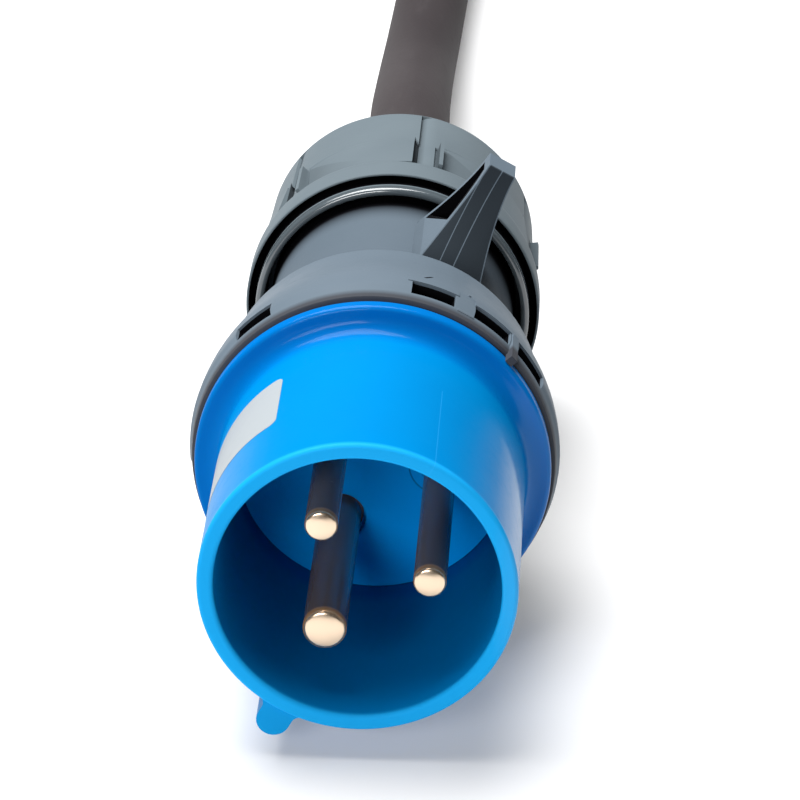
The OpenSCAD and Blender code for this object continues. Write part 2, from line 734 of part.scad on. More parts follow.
// Coils of the closing spring on the hinge pin
module lid_spring() color("silver") on_coupler() at(0)
    translate([hinge_lift, 0, hinge_place]) rotate([-90, 0, 0]) {
        wire = 0.8;
        for (side = [-1, 1])
            for (i = [0:2])
                translate([0, 0, side * (knuckle_half + 0.7 + i * wire)]) rotate_extrude()
                    translate([lid_pin_d / 2 + wire / 2 + fit_gap, 0]) circle(d = wire, $fn = 16);
    }

collar();
contact_carrier();
earth_pin();
line_pin();
neutral_pin();
terminal_screws();
housing_seal();
rear_housing();
gland_nut();
clamp_cage();
cable_seal();
sheath_end();
earth_core();
line_core();
neutral_core();
cable();
strain_relief();
coupler_handle();
coupler_front();
earth_contact();
line_contact();
neutral_contact();
coupler_lid();
lid_seal();
lid_pin();
lid_spring();
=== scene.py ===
import math

import bmesh
import bpy
from mathutils import Matrix, Vector


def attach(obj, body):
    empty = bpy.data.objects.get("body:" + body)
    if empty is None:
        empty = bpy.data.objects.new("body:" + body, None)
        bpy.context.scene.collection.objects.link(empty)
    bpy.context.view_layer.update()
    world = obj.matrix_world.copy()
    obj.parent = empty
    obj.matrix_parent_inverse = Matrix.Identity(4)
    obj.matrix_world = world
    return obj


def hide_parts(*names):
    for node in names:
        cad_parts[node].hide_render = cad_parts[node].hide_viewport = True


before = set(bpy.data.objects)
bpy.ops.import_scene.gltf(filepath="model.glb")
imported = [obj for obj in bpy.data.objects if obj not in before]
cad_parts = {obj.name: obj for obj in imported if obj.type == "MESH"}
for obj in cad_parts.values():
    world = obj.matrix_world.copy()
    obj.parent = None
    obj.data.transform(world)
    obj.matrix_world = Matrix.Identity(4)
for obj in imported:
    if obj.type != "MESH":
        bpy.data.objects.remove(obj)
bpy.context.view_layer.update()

# Camera: a long lens in front of the pins and above them, a little to the right.
# It is aimed by putting the centre of the collar's rim on its place in an 800 by 800 picture.
plug_half = 0.07965
plug_axis = 0.035
rim_centre = Vector((0.0, -plug_half, plug_axis))
camera_side = math.radians(3.4)
camera_rise = math.radians(28.05)
camera_distance = 0.8
focal = 4500.0
rim_in_picture = (357.0, 590.2)
picture_middle = 400.0
toward = Vector((
    math.sin(camera_side) * math.cos(camera_rise),
    -math.cos(camera_side) * math.cos(camera_rise),
    math.sin(camera_rise),
))
forward = -toward
right = forward.cross(Vector((0, 0, 1))).normalized()
up = right.cross(forward)
turn_x = math.atan((rim_in_picture[0] - picture_middle) / focal)
turn_y = math.atan((rim_in_picture[1] - picture_middle) / focal * math.cos(turn_x))
raised = forward * math.cos(turn_y) + up * math.sin(turn_y)
camera_up = up * math.cos(turn_y) - forward * math.sin(turn_y)
camera_forward = raised * math.cos(turn_x) - right * math.sin(turn_x)
camera_right = right * math.cos(turn_x) + raised * math.sin(turn_x)


def show(name, data):
    """A new object in the scene."""
    made = bpy.data.objects.new(name, data)
    scene.collection.objects.link(made)
    return made


scene = bpy.context.scene
camera_data = bpy.data.cameras.new("camera")
camera_data.sensor_width = 36.0
camera_data.lens = camera_data.sensor_width * focal / (2 * picture_middle)
camera_data.clip_end = 20.0
camera = show("camera", camera_data)
camera_place = Matrix((camera_right, camera_up, -camera_forward)).transposed().to_4x4()
camera_place.translation = rim_centre + toward * camera_distance
camera.matrix_world = camera_place
scene.camera = camera

# Lead: a thick three-core cable with an extruded black rubber sheath, faintly matt from handling.
# The gland grips it; it leaves straight, sinks to the floor and rises into the coupler's strain relief.


class Field:
    """A value that changes over a surface: arithmetic on it adds Math nodes."""

    def __init__(self, tree, socket):
        self.tree = tree
        self.socket = socket

    def math(self, operation, first, second):
        made = add_node(self.tree, "ShaderNodeMath", {0: first, 1: second}, operation=operation)
        return Field(self.tree, made.outputs[0])

    def __add__(self, other):
        return self.math("ADD", self, other)

    def __radd__(self, other):
        return self.math("ADD", other, self)

    def __sub__(self, other):
        return self.math("SUBTRACT", self, other)

    def __rsub__(self, other):
        return self.math("SUBTRACT", other, self)

    def __mul__(self, other):
        return self.math("MULTIPLY", self, other)

    def __rmul__(self, other):
        return self.math("MULTIPLY", other, self)

    def __truediv__(self, other):
        return self.math("DIVIDE", self, other)

    def __gt__(self, other):
        return self.math("GREATER_THAN", self, other)

    def __lt__(self, other):
        return self.math("LESS_THAN", self, other)

    def largest(self, other):
        return self.math("MAXIMUM", self, other)

    def smallest(self, other):
        return self.math("MINIMUM", self, other)

    def root(self):
        return self.math("POWER", self, 0.5)

    def between(self, low, high):
        """1 where the value lies between the two, else 0."""
        return (self > low) * (self < high)

    def near(self, half):
        """1 where the value lies within half of zero, else 0."""
        return self * self < half * half


def put(tree, socket, value):
    """Links a field or an output to a socket, or sets a constant on it."""
    if isinstance(value, Field):
        value = value.socket
    if isinstance(value, bpy.types.NodeSocket):
        tree.links.new(value, socket)
    else:
        socket.default_value = value


def add_node(tree, kind, inputs, **settings):
    """A node with its settings made and its sockets filled."""
    made = tree.nodes.new(kind)
    for name, value in settings.items():
        setattr(made, name, value)
    for socket, value in inputs.items():
        put(tree, made.inputs[socket], value)
    return made


class Finish:
    """One material: a Principled shader and the nodes that vary it."""

    def __init__(self, name, **constants):
        self.material = bpy.data.materials.new(name)
        self.material.use_nodes = True
        self.tree = self.material.node_tree
        self.shader = self.tree.nodes["Principled BSDF"]
        for socket, value in constants.items():
            self.feed(socket.replace("_", " "), value)
        self.place = self.node("ShaderNodeTexCoord", {}).outputs["Object"]

    def node(self, kind, inputs, **settings):
        return add_node(self.tree, kind, inputs, **settings)

    def noise(self, scale, detail=2.0, roughness=0.5, stretch=None):
        place = self.place
        if stretch:
            mapping = self.node("ShaderNodeMapping", {"Vector": place, "Scale": stretch})
            place = mapping.outputs["Vector"]
        made = self.node("ShaderNodeTexNoise", {
            "Vector": place, "Scale": scale, "Detail": detail, "Roughness": roughness,
        })
        return Field(self.tree, made.outputs[0])

    def ramp(self, value, low, high):
        inputs = {"Value": value, "From Min": low, "From Max": high, "To Min": 0.0, "To Max": 1.0}
        made = self.node("ShaderNodeMapRange", inputs, clamp=True)
        return Field(self.tree, made.outputs["Result"])

    def mix(self, share, first, second):
        made = self.node("ShaderNodeMix", {}, data_type="RGBA")
        sockets = [s for s in made.inputs if s.enabled]
        for socket, value in zip(sockets, (share, first, second)):
            put(self.tree, socket, value)
        return [s for s in made.outputs if s.enabled][0]

    def position(self):
        made = self.node("ShaderNodeSeparateXYZ", {"Vector": self.place})
        return [Field(self.tree, s) for s in made.outputs]

    def feed(self, socket, value):
        put(self.tree, self.shader.inputs[socket], value)

    def base(self):
        """What feeds the Base Color so far."""
        return self.shader.inputs["Base Color"].links[0].from_socket

    def bump(self, height, distance):
        made = self.node("ShaderNodeBump", {"Height": height, "Distance": distance, "Strength": 1.0})
        self.feed("Normal", made.outputs["Normal"])


def moulded(name, colour, second, roughness, grain=0.00002, grain_scale=2600.0, gloss=0.012):
    """Moulded plastic or rubber: slow colour drift, a fine spark-eroded grain and handling marks."""
    finish = Finish(name, Coat_Roughness=0.08, Specular_IOR_Level=gloss)
    drift = finish.ramp(finish.noise(scale=38.0, detail=3.0), 0.32, 0.68)
    marks = finish.ramp(finish.noise(scale=420.0, detail=4.0, roughness=0.65), 0.5, 0.78)
    finish.feed("Base Color", finish.mix(drift, (*colour, 1), (*second, 1)))
    finish.feed("Roughness", roughness + drift * 0.05 + marks * 0.09)
    finish.bump(finish.noise(grain_scale) + marks * 0.3, grain)
    return finish


def settle(shape, mesh, angle):
    """Writes a bmesh to a mesh, with outward normals, smooth faces and crisp edges past an angle."""
    bmesh.ops.recalc_face_normals(shape, faces=shape.faces)
    shape.to_mesh(mesh)
    shape.free()
    mesh.polygons.foreach_set("use_smooth", [True] * len(mesh.polygons))
    mesh.set_sharp_from_angle(angle=math.radians(angle))


def add_piece(name, points, faces, material, smooth_angle=35.0):
    """A mesh object at the origin with merged doubles."""
    mesh = bpy.data.meshes.new(name)
    shape = bmesh.new()
    verts = [shape.verts.new(p) for p in points]
    for face in faces:
        if len(set(face)) > 2:
            shape.faces.new([verts[i] for i in dict.fromkeys(face)])
    bmesh.ops.remove_doubles(shape, verts=shape.verts, dist=1e-6)
    settle(shape, mesh, smooth_angle)
    mesh.materials.append(material)
    return show(name, mesh)


def soften(piece, width, angle):
    """Small rounded edges, with the flat faces kept flat in the shading."""
    bevel = piece.modifiers.new("edges", "BEVEL")
    bevel.width = width
    bevel.segments = 2
    bevel.limit_method = "ANGLE"
    bevel.angle_limit = math.radians(angle)
    bevel.use_clamp_overlap = True
    normals = piece.modifiers.new("normals", "WEIGHTED_NORMAL")
    normals.keep_sharp = False
    sharp = piece.data.attributes.get("sharp_edge")
    if sharp:
        piece.data.attributes.remove(sharp)


def seat(piece, body, slot, *nodes):
    """The piece rides its body and stands for its CAD nodes, which it hides; the slot is not used."""
    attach(piece, body)
    if nodes:
        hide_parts(*nodes)


cable_r = 0.009
lead_reach = 0.38
coupler_axis = 0.029
lead_shares = [
    (0, 0, 1), (0, 0.037, 1), (-0.044, 0.074, 0.992), (-0.111, 0.121, 0.946), (-0.2, 0.179, 0.823),
    (-0.289, 0.242, 0.631), (-0.356, 0.31, 0.4), (-0.4, 0.384, 0.177), (-0.378, 0.463, 0.038),
    (-0.311, 0.542, 0), (-0.222, 0.621, 0), (-0.133, 0.69, 0.1), (-0.067, 0.753, 0.35),
    (-0.022, 0.816, 0.65), (0, 0.874, 0.88), (0, 0.921, 0.98), (0, 0.963, 1), (0, 1, 1),
]
half_way = 0.58
span_steps = 6
lead_sides = 40
route = []
for sway, share, rise in lead_shares:
    end_height = plug_axis if share < half_way else coupler_axis
    route.append(Vector((
        sway * cable_r,
        plug_half + share * lead_reach,
        cable_r + rise * (end_height - cable_r),
    )))


def smooth_path(points, steps):
    """Points on a curve through the given ones, steps to each span."""
    made = []
    last = len(points) - 1
    for i in range(last):
        before = points[max(i - 1, 0)]
        after = points[min(i + 2, last)]
        for k in range(steps):
            t = k / steps
            a = points[i]
            b = points[i + 1]
            slope_a = (b - before) / 2
            slope_b = (after - a) / 2
            made.append(
                a * (2 * t ** 3 - 3 * t ** 2 + 1) + slope_a * (t ** 3 - 2 * t ** 2 + t)
                + b * (3 * t ** 2 - 2 * t ** 3) + slope_b * (t ** 3 - t ** 2)
            )
    made.append(points[last])
    return made


def quad(k, n, j, m, count):
    """The face between points j and m of the rows k and n, with count points to a row."""
    return k * count + j, n * count + j, n * count + m, k * count + m


def skin(rows, count, closed=False):
    """Faces between rows of count points, each row a ring; closed joins the last row to the first."""
    pairs = [(k, (k + 1) % rows) for k in range(rows if closed else rows - 1)]
    return [quad(k, n, j, (j + 1) % count, count) for k, n in pairs for j in range(count)]


def bar(rows):
    """Points and faces of a bar through rows of points, closed at both ends."""
    count = len(rows[0])
    points = [p for row in rows for p in row]
    faces = skin(len(rows), count)
    faces.append(tuple(range(count)))
    faces.append(tuple(len(points) - 1 - k for k in range(count)))
    return points, faces


def rope(path, radius, sides):
    """A round bar along a path."""
    rows = []
    last = len(path) - 1
    turns = [math.tau * k / sides for k in range(sides)]
    for i, middle in enumerate(path):
        run = (path[min(i + 1, last)] - path[max(i - 1, 0)]).normalized()
        across = run.cross(Vector((0, 0, 1))).normalized()
        over = across.cross(run)
        rows.append([middle + across * math.cos(a) * radius + over * math.sin(a) * radius for a in turns])
    return bar(rows)


sheath = Finish("rubber_sheath", Specular_IOR_Level=0.01)
sheath_black = (0.045, 0.039, 0.041, 1)
sheath_faded = (0.060, 0.053, 0.055, 1)
sheath_worn = (0.092, 0.083, 0.086, 1)
fade_noise = sheath.noise(scale=26.0, detail=3.0, roughness=0.55, stretch=(1.0, 0.35, 1.0))
scuff_noise = sheath.noise(scale=240.0, detail=4.0, roughness=0.7, stretch=(1.0, 0.2, 1.0))
grain_noise = sheath.noise(scale=900.0, detail=3.0, roughness=0.6, stretch=(1.0, 0.3, 1.0))
sheath_drift = sheath.ramp(fade_noise, 0.3, 0.7)
sheath_scuff = sheath.ramp(scuff_noise, 0.52, 0.8)
sheath_colour = sheath.mix(sheath_drift, sheath_black, sheath_faded)
sheath.feed("Base Color", sheath.mix(sheath_scuff * 0.35, sheath_colour, sheath_worn))
sheath.feed("Roughness", 0.46 + sheath_drift * 0.08 + sheath_scuff * 0.12)
sheath.bump(grain_noise + sheath_scuff * 0.5, 0.00005)

lead_path = smooth_path(route, span_steps)
for point in lead_path:
    point.z = max(point.z, cable_r)
lead = add_piece("lead", *rope(lead_path, cable_r, lead_sides), sheath.material)
seat(lead, "plug", "cable_rubber", "cable")
lead_length = sum((b - a).length for a, b in zip(lead_path, lead_path[1:]))

# Collar: one glossy blue nylon moulding with a rounded rim, a key rib underneath that lets it mate one
# way, a cove behind and a round flange. Its spigot snaps into the grey housing.


def on_plug(r, angle, s):
    """A point in metres, from mm off the axis, degrees clockwise from the top and mm behind the rim."""
    a = math.radians(angle)
    return Vector((r * math.sin(a) / 1000, s / 1000 - plug_half, plug_axis + r * math.cos(a) / 1000))


def arc(centre, radius, start, end, steps):
    """Points of an arc in an outline, angles in degrees."""
    made = []
    for i in range(steps + 1):
        a = math.radians(start + (end - start) * i / steps)
        made.append((centre[0] + radius * math.cos(a), centre[1] + radius * math.sin(a)))
    return made


def turned(outline, place, sides):
    """Points and faces of a closed outline of (radius, place along the axis) turned round the axis."""
    points = [place(r, 360.0 * k / sides, s) for k in range(sides) for r, s in outline]
    return points, skin(sides, len(outline), closed=True)


def joined(*parts):
    """Several (points, faces) shapes as one."""
    points = []
    faces = []
    for part_points, part_faces in parts:
        start = len(points)
        points.extend(part_points)
        faces.extend(tuple(start + i for i in face) for face in part_faces)
    return points, faces


def prism(section, low, high, place):
    """A section of 2-D points run between two depths; place turns (x, y, depth) into a point."""
    return bar([[place(x, y, depth) for x, y in section] for depth in (low, high)])


rim_r = 28.75
bore_r = 25.75
rim_round = 0.9
flange_front = 48.0
flange_back = 51.2
flange_r = 33.5
flange_round = 0.95
cove_r = 3.0
spigot_r = 32.7
spigot_inner_r = 29.5
spigot_back = 53.1
collar_sides = 192
collar_outline = (
    arc((bore_r + rim_round, rim_round), rim_round, 180, 270, 6)
    + arc((rim_r - rim_round, rim_round), rim_round, 270, 360, 6)
    + [(rim_r, 8.0), (rim_r, 16.0), (rim_r, 24.0), (rim_r, 32.0), (rim_r, 40.0)]
    + arc((rim_r + cove_r, flange_front - cove_r), cove_r, 180, 90, 8)
    + arc((flange_r - flange_round, flange_front + flange_round), flange_round, 270, 360, 6)
    + arc((flange_r - flange_round, flange_back - flange_round), flange_round, 0, 90, 6)
    + [(spigot_r, flange_back), (spigot_r, spigot_back), (spigot_inner_r, spigot_back)]
    + [(spigot_inner_r, flange_back), (bore_r, flange_back), (bore_r, 40.0), (bore_r, 20.0)]
)
key_angle = 209.0
key_half = 3.1
key_height = 5.8
key_front = 0.9
key_back = 25.9
key_root = 1.6
key_sunk = bore_r + 0.6
key_blend = rim_r + key_root - 0.35
key_side = key_half + key_root
key_top = rim_r + key_height - key_half
key_section = (
    [(key_sunk, -key_side)]
    + arc((key_blend, -key_side), key_root, 180, 90, 5)
    + arc((key_top, 0), key_half, -90, 90, 14)
    + arc((key_blend, key_side), key_root, -90, -180, 5)
    + [(key_sunk, key_side)]
)


def beside(angle):
    """Places x outwards, y sideways and s behind the rim, on a ray at an angle from the top."""
    a = math.radians(angle)
    out = Vector((math.sin(a), 0, math.cos(a)))
    side = Vector((math.cos(a), 0, -math.sin(a)))
    centre = Vector((0, -plug_half, plug_axis))
    return lambda x, y, s: centre + (out * x + side * y + Vector((0, s, 0))) / 1000


def plug_place(finish):
    """Radius and place along the axis, both in mm, then mm to the right of it and above it."""
    x, y, z = finish.position()
    up = (z - plug_axis) * 1000.0
    across = x * 1000.0
    s = (y + plug_half) * 1000.0
    return (across * across + up * up).root(), s, across, up


def from_ray(across, up, angle):
    """Turns mm to the right and above into mm beside a ray at an angle from the top, and out along it."""
    a = math.radians(angle)
    return across * math.cos(a) - up * math.sin(a), across * math.sin(a) + up * math.cos(a)


blue_look = {
    "colour": (0.0, 0.208, 0.525), "second": (0.0, 0.193, 0.50), "roughness": 0.30,
    "grain": 0.000012, "grain_scale": 2400.0, "gloss": 0.02,
}
rim_light_colour = (0.01, 0.35, 0.77, 1)
seam_highlight_colour = (0.05, 0.42, 0.88, 1)
flange_shade_colour = (0.0, 0.115, 0.44, 1)
cup_shade_colour = (0.0, 0.05, 0.14, 1)
top_shine = 0.13
right_shine = 0.4
seam_angle = 28.5
seam_half = 0.0775
seam_back = 30.0
seam_share = 0.22
flange_share = 0.7
cup_share = 0.45
blue = moulded("blue_nylon", **blue_look)
collar_blue = moulded("collar_nylon", **blue_look)
collar_out, collar_s, collar_across, collar_up = plug_place(collar_blue)
on_top = (1.0 - collar_blue.ramp(collar_across * collar_across, 120.0, 420.0)) * (collar_up > 0.0)
on_top = on_top * collar_blue.ramp(collar_s, 2.0, 8.0)
on_right = collar_blue.ramp(collar_across, 24.0, 28.0)
collar_blue.feed("Coat Weight", on_top * top_shine + on_right * right_shine)
# Painted light: the rim's front is mixed to a lighter blue where the light catches it.
on_rim = 1.0 - collar_blue.ramp(collar_s, 0.5, 1.6)
# Painted highlight: a thin lighter line along the mould seam on the top.
on_seam = from_ray(collar_across, collar_up, seam_angle)[0].near(seam_half) * (collar_up > 0.0)
on_seam = on_seam * (collar_s < seam_back) * (collar_out > bore_r + 0.5)
# Painted shade: from the cove back over the flange the blue turns darker and deeper.
on_flange = collar_blue.ramp(collar_s, 43.0, 47.0)
# Painted shade: the wall inside the cup darkens with depth.
in_cup = collar_blue.ramp(collar_s, 2.0, 44.0) * (collar_out < bore_r + 0.3)
collar_base = collar_blue.mix(on_rim, collar_blue.base(), rim_light_colour)
collar_base = collar_blue.mix(on_seam * seam_share, collar_base, seam_highlight_colour)
collar_base = collar_blue.mix(on_flange * flange_share, collar_base, flange_shade_colour)
collar_blue.feed("Base Color", collar_blue.mix(in_cup * cup_share, collar_base, cup_shade_colour))
collar = add_piece(
    "collar_shell",
    *joined(
        turned(collar_outline, on_plug, collar_sides),
        prism(key_section, key_front, key_back, beside(key_angle)),
    ),
    collar_blue.material,
)
soften(collar, width=0.00035, angle=40.0)
seat(collar, "plug", "blue_plastic", "collar")

# Sticker: a die-cut piece of plain white vinyl film with rounded corners.
# Its own glue holds it on the left side of the collar.
label_left = -92.0
label_right = -33.0
label_front = 17.5
label_back = 36.8
label_low = rim_r - 0.2
label_high = rim_r + 0.06
label_corner = 1.8
label_steps = 60
label_rows = []
for k in range(label_steps + 1):
    share = 0.5 - 0.5 * math.cos(math.pi * k / label_steps)
    angle = label_left + (label_right - label_left) * share
    from_end = rim_r * math.radians(min(angle - label_left, label_right - angle))
    cut_back = label_corner - min(from_end, label_corner)
    inset = label_corner - math.sqrt(max(0.0, label_corner ** 2 - cut_back ** 2))
    front = label_front + inset
    back = label_back - inset
    corners = [(label_low, front), (label_high, front), (label_high, back), (label_low, back)]
    label_rows.append([on_plug(r, angle, s) for r, s in corners])
film = moulded(
    "white_film", (0.34, 0.37, 0.39), (0.33, 0.36, 0.38),
    roughness=0.34, grain=0.000008, grain_scale=1500.0,
)
label = add_piece("blank_sticker", *bar(label_rows), film.material)
seat(label, "plug", "blue_plastic")

# Contact carrier: the floor of the cup, moulded in blue nylon and held between collar and housing.
# Each pin stands in a round pocket, and a fine dark line runs round the two line pins.
carrier_face = 50.0
carrier_r = 25.6
carrier_back = 66.0
carrier_flange_r = 29.3
carrier_flange_back = 54.0
carrier_body_r = 24.7
pin_ring = 12.8
pin_places = {"earth": (209.0, 4.0), "line": (-31.0, 3.0), "neutral": (89.0, 3.0)}
pocket_room = 0.9
pocket_depth = 2.4
pocket_lip = 0.25
pin_overlap = 0.2
carrier_step = flange_back + 0.1


def circle_on(angle, radius, s, sides):
    """A circle round a pin's axis on the carrier's face."""
    centre = on_plug(pin_ring, angle, s)
    made = []
    for k in range(sides):
        a = math.tau * k / sides
        made.append(centre + Vector((math.sin(a), 0, math.cos(a))) * radius / 1000)
    return made


def taken_apart(shape):
    """The points and faces of a bmesh, which is freed."""
    shape.verts.index_update()
    points = [v.co.copy() for v in shape.verts]
    faces = [tuple(v.index for v in f.verts) for f in shape.faces]
    shape.free()
    return points, faces


def carrier_mesh(sides=64, rim_sides=128):
    """The carrier: a face with three pockets, and behind it a wall, a flange and a round body."""
    shape = bmesh.new()

    def loop(points):
        verts = [shape.verts.new(p) for p in points]
        edges = [shape.edges.new((verts[i], verts[(i + 1) % len(verts)])) for i in range(len(verts))]
        return verts, edges

    def loft(first, second):
        for i in range(len(first)):
            n = (i + 1) % len(first)
            shape.faces.new((first[i], first[n], second[n], second[i]))

    def ring(r, s):
        return [on_plug(r, 360.0 * k / rim_sides, s) for k in range(rim_sides)]

    rim, face_edges = loop(ring(carrier_r, carrier_face))
    steps = []
    for angle, radius in pin_places.values():
        pocket_r = radius + pocket_room
        mouth, mouth_edges = loop(circle_on(angle, pocket_r + pocket_lip, carrier_face, sides))
        face_edges += mouth_edges
        lip = loop(circle_on(angle, pocket_r, carrier_face + pocket_lip, sides))[0]
        floor = loop(circle_on(angle, pocket_r, carrier_face + pocket_depth, sides))[0]
        wall = loop(circle_on(angle, radius - pin_overlap, carrier_face + pocket_depth, sides))[0]
        steps += [(mouth, lip), (lip, floor), (floor, wall)]
        shape.faces.new(wall)
    bmesh.ops.triangle_fill(shape, use_beauty=True, use_dissolve=False, edges=face_edges)
    for first, second in steps:
        loft(first, second)
    previous = rim
    for r, s in [
        (carrier_r, carrier_step), (carrier_flange_r, carrier_step),
        (carrier_flange_r, carrier_flange_back), (carrier_body_r, carrier_flange_back),
        (carrier_body_r, carrier_back),
    ]:
        following = loop(ring(r, s))[0]
        loft(previous, following)
        previous = following
    shape.faces.new(previous)
    return taken_apart(shape)


ring_inner = 5.85
ring_outer = 6.15
ring_share = 0.6
ring_colour = (0.0, 0.05, 0.16, 1)
carrier_blue = moulded(
    "carrier_nylon", (0.0, 0.36, 0.95), (0.0, 0.33, 0.90),
    roughness=0.36, grain=0.00003, grain_scale=1900.0,
)
_, _, carrier_across, carrier_up = plug_place(carrier_blue)
carrier_base = carrier_blue.base()
for pin_name in ("line", "neutral"):
    pin_turn = math.radians(pin_places[pin_name][0])
    ring_x = carrier_across - pin_ring * math.sin(pin_turn)
    ring_z = carrier_up - pin_ring * math.cos(pin_turn)
    on_ring = (ring_x * ring_x + ring_z * ring_z).root().between(ring_inner, ring_outer)
    carrier_base = carrier_blue.mix(on_ring * ring_share, carrier_base, ring_colour)
carrier_blue.feed("Base Color", carrier_base)
carrier = add_piece("cup_floor", *carrier_mesh(), carrier_blue.material, smooth_angle=30.0)
seat(carrier, "plug", "blue_plastic", "contact_carrier")

# Pins: solid brass turned on a lathe and plated, with bright rounded tips. The shafts' darker brown is a
# painted dark reflection of the cup, and the warm band behind each tip a painted reflection.
# Each has a shoulder pressed into the carrier and a drilled terminal behind it.
tip_crown = ((0.0, 0.0), (0.3, 0.04), (0.55, 0.14))
tip_edge = 0.34
tip_share = 0.28
shoulder_more = 0.7
head_more = 1.2
head_back = carrier_back + 2.0
terminal_r = 5.0
terminal_back = 84.0
hole_r = 2.6
hole_floor = terminal_back - 10.0
pin_tips = {"earth": 4.9, "line": 2.5, "neutral": 2.5}


def pin_mesh(angle, radius, tip):
    """A turned pin round its own axis."""
    centre = on_plug(pin_ring, angle, 0.0)
    bend = radius * tip_share
    foot = carrier_face + pocket_depth
    shoulder_r = radius + shoulder_more
    head_r = shoulder_r + head_more
    outline = [(radius * share, tip + drop) for share, drop in tip_crown]
    outline += arc((radius - bend, tip + bend + tip_edge), bend, 285, 360, 8)
    outline += [(radius, 20.0), (radius, 34.0), (radius, foot - 0.3)]
    outline += [(shoulder_r, foot + 0.2), (shoulder_r, carrier_back)]
    outline += [(head_r, carrier_back), (head_r, head_back)]
    outline += [(terminal_r, head_back), (terminal_r, terminal_back), (hole_r, terminal_back)]
    outline += [(hole_r, hole_floor), (0.0, hole_floor)]

    def place(r, turn, s):
        a = math.radians(turn)
        return centre + Vector((r * math.sin(a), s, r * math.cos(a))) / 1000

    return turned(outline, place, 64)


brass_bright = (0.80, 0.63, 0.47, 1)
brass_dull = (0.76, 0.59, 0.43, 1)
brass_shaft_shade = (0.30, 0.235, 0.205, 1)
brass_warm_reflection = (0.62, 0.29, 0.09, 1)
brass = Finish("plated_brass")
brass_drift = brass.ramp(brass.noise(scale=120.0, detail=3.0), 0.3, 0.7)
brass_lines = brass.noise(scale=900.0, roughness=0.6, stretch=(0.35, 5.0, 0.35))
_, brass_s, _, brass_up = plug_place(brass)
on_earth = brass_up < -5.0
from_tip = brass_s - pin_tips["line"] - on_earth * (pin_tips["earth"] - pin_tips["line"])
# Painted dark reflection: away from the tip the shaft turns dark brown and less metallic.
on_tip = 1.0 - brass.ramp(from_tip, 1.1, 2.0)
# Painted reflection: a warm orange band just behind each tip.
on_edge = brass.ramp(from_tip, 0.45, 0.95) * (1.0 - brass.ramp(from_tip, 1.5, 2.4))
brass_base = brass.mix(on_tip, brass_shaft_shade, brass.mix(brass_drift, brass_bright, brass_dull))
brass.feed("Base Color", brass.mix(on_edge * 0.8, brass_base, brass_warm_reflection))
brass.feed("Metallic", 0.5 + on_tip * 0.5 - on_edge * 0.5)
brass.feed("Roughness", 0.16 + brass_drift * 0.06 + brass_lines * 0.08)
brass.bump(brass_lines, 0.000012)
for pin_name, (pin_angle, pin_radius) in pin_places.items():
    pin_shape = pin_mesh(pin_angle, pin_radius, pin_tips[pin_name])
    pin = add_piece(pin_name + "_pin_turned", *pin_shape, brass.material, smooth_angle=32.0)
    seat(pin, "plug", "brass", pin_name + "_pin")

# Rear housing: a grey nylon moulding with a slotted ring that snaps over the collar's spigot, a neck with
# the gland's thread, and a hollow lug opposite the key, behind which the sprung lid of a socket catches.
ring_front = 51.3
ring_back = 81.3
ring_r = 35.0
ring_wall_r = 32.8
neck_r = 24.4
thread_r = 25.7
thread_front = 126.3
thread_start = thread_front + 0.9
thread_flank = 0.75
thread_flanks = 13
thread_depth = 0.8
neck_cove = 1.4
neck_back = 138.3
neck_bore_r = 21.0
seal_r = 19.5
seal_floor = 125.3
cable_hole_r = 11.0
web_back = 122.3
web_front = 59.0
room_r = 27.2
room_front = 61.6
room_mouth_r = 26.2
window_front = 54.0
window_back = 58.6
window_half = 4.3
window_outer = [
    (34.52, window_front), (34.78, 54.8), (34.96, 55.5), (ring_r, 56.2), (34.94, 57.2),
    (34.84, window_back),
]
window_inner = [(ring_wall_r, window_back), (ring_wall_r, window_front)]
lug_angle = 29.0
window_angles = [lug_angle + w for w in (-130.0, -70.0, -10.5, 10.5, 28.5, 130.0)]
housing_outer = (
    [(ring_wall_r, ring_front), (33.6, ring_front), (34.1, 51.5), (34.2, 51.75), (34.36, 52.8)]
    + window_outer
    + [(34.7, 60.0), (34.45, 62.0), (34.1, 64.0), (33.62, 66.2), (32.72, 70.0), (31.92, 73.6)]
    + [(31.38, 76.0), (31.0, 78.6), (30.78, 80.2), (30.6, 80.85), (30.2, 81.2), (29.8, ring_back)]
    + [(neck_r + neck_cove, ring_back)]
    + arc((neck_r + neck_cove, ring_back + neck_cove), neck_cove, 270, 180, 5)
    + [(neck_r, 90.0), (neck_r, 110.0), (neck_r, thread_front - 0.4), (thread_r, thread_start)]
)
for i in range(1, thread_flanks + 1):
    housing_outer.append((thread_r - (thread_depth if i % 2 else 0.0), thread_start + thread_flank * i))
housing_inner = [
    (neck_r + 0.3, neck_back), (seal_r, neck_back), (seal_r, seal_floor), (cable_hole_r, seal_floor),
    (cable_hole_r, web_back), (neck_bore_r, web_back), (neck_bore_r, 96.0), (neck_bore_r, 85.0),
    (22.8, 79.9), (22.8, 78.7), (room_r, 75.3), (room_r, room_front), (room_mouth_r, room_front),
    (room_mouth_r, web_front), (ring_wall_r, web_front),
] + window_inner
housing_outline = housing_outer + housing_inner


def apart(first, second):
    """Degrees between two angles."""
    return abs((first - second + 180) % 360 - 180)


